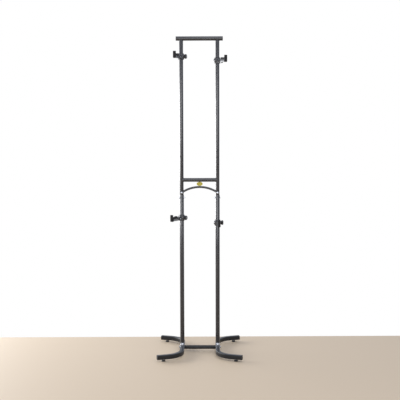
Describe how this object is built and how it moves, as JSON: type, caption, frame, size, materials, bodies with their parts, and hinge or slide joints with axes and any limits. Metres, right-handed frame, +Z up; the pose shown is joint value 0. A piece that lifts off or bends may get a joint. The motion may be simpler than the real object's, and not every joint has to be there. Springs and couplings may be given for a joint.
{
  "type": "two tier bike rack",
  "caption": "Free-standing two tier bike rack: a slim tube ladder frame on two C-shaped feet, with padded hooks that slide along the posts and swing round them.",
  "frame": {"origin": "on the floor, at the middle of the feet", "axes": "+Z up along the posts, -Y towards the side that the hooks reach out to, +X to the right seen from there"},
  "size_m": [0.5534, 0.5614, 2.088],
  "materials": {
    "black_steel": "satin powder coat",
    "black_casting": "satin powder coat",
    "black_plastic": "moulded, satin",
    "rubber": "matt",
    "nylon": "moulded, satin",
    "zinc": "bright zinc plate",
    "yellow_enamel": "gloss enamel"
  },
  "bodies": {
    "frame": {"foot_left": "black_steel", "foot_right": "black_steel", "foot_cap_front_left": "black_plastic", "foot_cap_front_right": "black_plastic", "foot_cap_back_left": "black_plastic", "foot_cap_back_right": "black_plastic", "post_spigot_left": "zinc", "post_spigot_right": "zinc", "crossbar_bolt_left": "zinc", "crossbar_bolt_right": "zinc", "lower_post_left": "black_steel", "lower_post_right": "black_steel", "upper_post_left": "black_steel", "upper_post_right": "black_steel", "joint_bolt_left": "zinc", "joint_bolt_right": "zinc", "joint_nut_left": "zinc", "joint_nut_right": "zinc", "arch_bolt_left": "zinc", "arch_bolt_right": "zinc", "top_bar_cap_left": "black_plastic", "top_bar_cap_right": "black_plastic", "base_crossbar": "black_steel", "top_bar": "black_steel", "mid_bar": "black_steel", "arch_brace": "black_steel", "badge": "yellow_enamel"},
    "glide_pad_front_left": {"glide_pad_front_left": "black_plastic"},
    "glide_stud_front_left": {"glide_stud_front_left": "zinc"},
    "glide_pad_front_right": {"glide_pad_front_right": "black_plastic"},
    "glide_stud_front_right": {"glide_stud_front_right": "zinc"},
    "glide_pad_back_left": {"glide_pad_back_left": "black_plastic"},
    "glide_stud_back_left": {"glide_stud_back_left": "zinc"},
    "glide_pad_back_right": {"glide_pad_back_right": "black_plastic"},
    "glide_stud_back_right": {"glide_stud_back_right": "zinc"},
    "slider_upper_left": {"liner_upper_left": "nylon"},
    "hook_upper_left": {"clamp_upper_left": "black_casting", "arm_upper_left": "black_steel", "arm_bolt_upper_left": "zinc", "cradle_cover_upper_left": "rubber"},
    "knob_upper_left": {"knob_upper_left": "black_plastic"},
    "slider_upper_right": {"liner_upper_right": "nylon"},
    "hook_upper_right": {"clamp_upper_right": "black_casting", "arm_upper_right": "black_steel", "arm_bolt_upper_right": "zinc", "cradle_cover_upper_right": "rubber"},
    "knob_upper_right": {"knob_upper_right": "black_plastic"},
    "slider_lower_left": {"liner_lower_left": "nylon"},
    "hook_lower_left": {"clamp_lower_left": "black_casting", "arm_lower_left": "black_steel", "arm_bolt_lower_left": "zinc", "cradle_cover_lower_left": "rubber"},
    "knob_lower_left": {"knob_lower_left": "black_plastic"},
    "slider_lower_right": {"liner_lower_right": "nylon"},
    "hook_lower_right": {"clamp_lower_right": "black_casting", "arm_lower_right": "black_steel", "arm_bolt_lower_right": "zinc", "cradle_cover_lower_right": "rubber"},
    "knob_lower_right": {"knob_lower_right": "black_plastic"}
  },
  "joints": [
    {"name": "glide_height_front_left", "type": "slide", "parent": "frame", "child": "glide_pad_front_left", "axis": [0, 0, -1], "range_m": [0, 0.01]},
    {"name": "glide_screw_front_left", "type": "hinge", "parent": "glide_pad_front_left", "child": "glide_stud_front_left", "pos_m": [-0.23241, -0.25435, 0.013], "axis": [0, 0, -1], "range_deg": [0, 2880]},
    {"name": "glide_height_front_right", "type": "slide", "parent": "frame", "child": "glide_pad_front_right", "axis": [0, 0, -1], "range_m": [0, 0.01]},
    {"name": "glide_screw_front_right", "type": "hinge", "parent": "glide_pad_front_right", "child": "glide_stud_front_right", "pos_m": [0.23241, -0.25435, 0.013], "axis": [0, 0, -1], "range_deg": [0, 2880]},
    {"name": "glide_height_back_left", "type": "slide", "parent": "frame", "child": "glide_pad_back_left", "axis": [0, 0, -1], "range_m": [0, 0.01]},
    {"name": "glide_screw_back_left", "type": "hinge", "parent": "glide_pad_back_left", "child": "glide_stud_back_left", "pos_m": [-0.23241, 0.25435, 0.013], "axis": [0, 0, -1], "range_deg": [0, 2880]},
    {"name": "glide_height_back_right", "type": "slide", "parent": "frame", "child": "glide_pad_back_right", "axis": [0, 0, -1], "range_m": [0, 0.01]},
    {"name": "glide_screw_back_right", "type": "hinge", "parent": "glide_pad_back_right", "child": "glide_stud_back_right", "pos_m": [0.23241, 0.25435, 0.013], "axis": [0, 0, -1], "range_deg": [0, 2880]},
    {"name": "height_upper_left", "type": "slide", "parent": "frame", "child": "slider_upper_left", "axis": [0, 0, 1], "range_m": [-0.767, 0.073]},
    {"name": "turn_upper_left", "type": "hinge", "parent": "slider_upper_left", "child": "hook_upper_left", "pos_m": [-0.1185, 0, 1.957], "axis": [0, 0, 1], "range_deg": [-130.4, 49.6]},
    {"name": "knob_turn_upper_left", "type": "hinge", "parent": "hook_upper_left", "child": "knob_upper_left", "pos_m": [-0.09778, -0.00738, 1.957], "axis": [0.9421, -0.3355, 0], "range_deg": [0, 1080]},
    {"name": "height_upper_right", "type": "slide", "parent": "frame", "child": "slider_upper_right", "axis": [0, 0, 1], "range_m": [-0.741, 0.099]},
    {"name": "turn_upper_right", "type": "hinge", "parent": "slider_upper_right", "child": "hook_upper_right", "pos_m": [0.1185, 0, 1.931], "axis": [0, 0, 1], "range_deg": [-56, 124]},
    {"name": "knob_turn_upper_right", "type": "hinge", "parent": "hook_upper_right", "child": "knob_upper_right", "pos_m": [0.13827, 0.00964, 1.931], "axis": [0.8988, 0.4384, 0], "range_deg": [0, 1080]},
    {"name": "height_lower_left", "type": "slide", "parent": "frame", "child": "slider_lower_left", "axis": [0, 0, 1], "range_m": [-0.815, 0.1]},
    {"name": "turn_lower_left", "type": "hinge", "parent": "slider_lower_left", "child": "hook_lower_left", "pos_m": [-0.1185, 0, 0.9], "axis": [0, 0, 1], "range_deg": [-118, 62]},
    {"name": "knob_turn_lower_left", "type": "hinge", "parent": "hook_lower_left", "child": "knob_lower_left", "pos_m": [-0.09984, -0.01166, 0.9], "axis": [0.848, -0.5299, 0], "range_deg": [0, 1080]},
    {"name": "height_lower_right", "type": "slide", "parent": "frame", "child": "slider_lower_right", "axis": [0, 0, 1], "range_m": [-0.781, 0.134]},
    {"name": "turn_lower_right", "type": "hinge", "parent": "slider_lower_right", "child": "hook_lower_right", "pos_m": [0.1185, 0, 0.866], "axis": [0, 0, 1], "range_deg": [-34.6, 145.4]},
    {"name": "knob_turn_lower_right", "type": "hinge", "parent": "hook_lower_right", "child": "knob_lower_right", "pos_m": [0.14043, 0.00176, 0.866], "axis": [0.9968, 0.0802, 0], "range_deg": [0, 1080]}
  ],
  "couplings": [
    {"joint": "glide_height_front_left", "follows": "glide_screw_front_left", "m_per_rad": 0.00019894},
    {"joint": "glide_height_front_right", "follows": "glide_screw_front_right", "m_per_rad": 0.00019894},
    {"joint": "glide_height_back_left", "follows": "glide_screw_back_left", "m_per_rad": 0.00019894},
    {"joint": "glide_height_back_right", "follows": "glide_screw_back_right", "m_per_rad": 0.00019894}
  ]
}
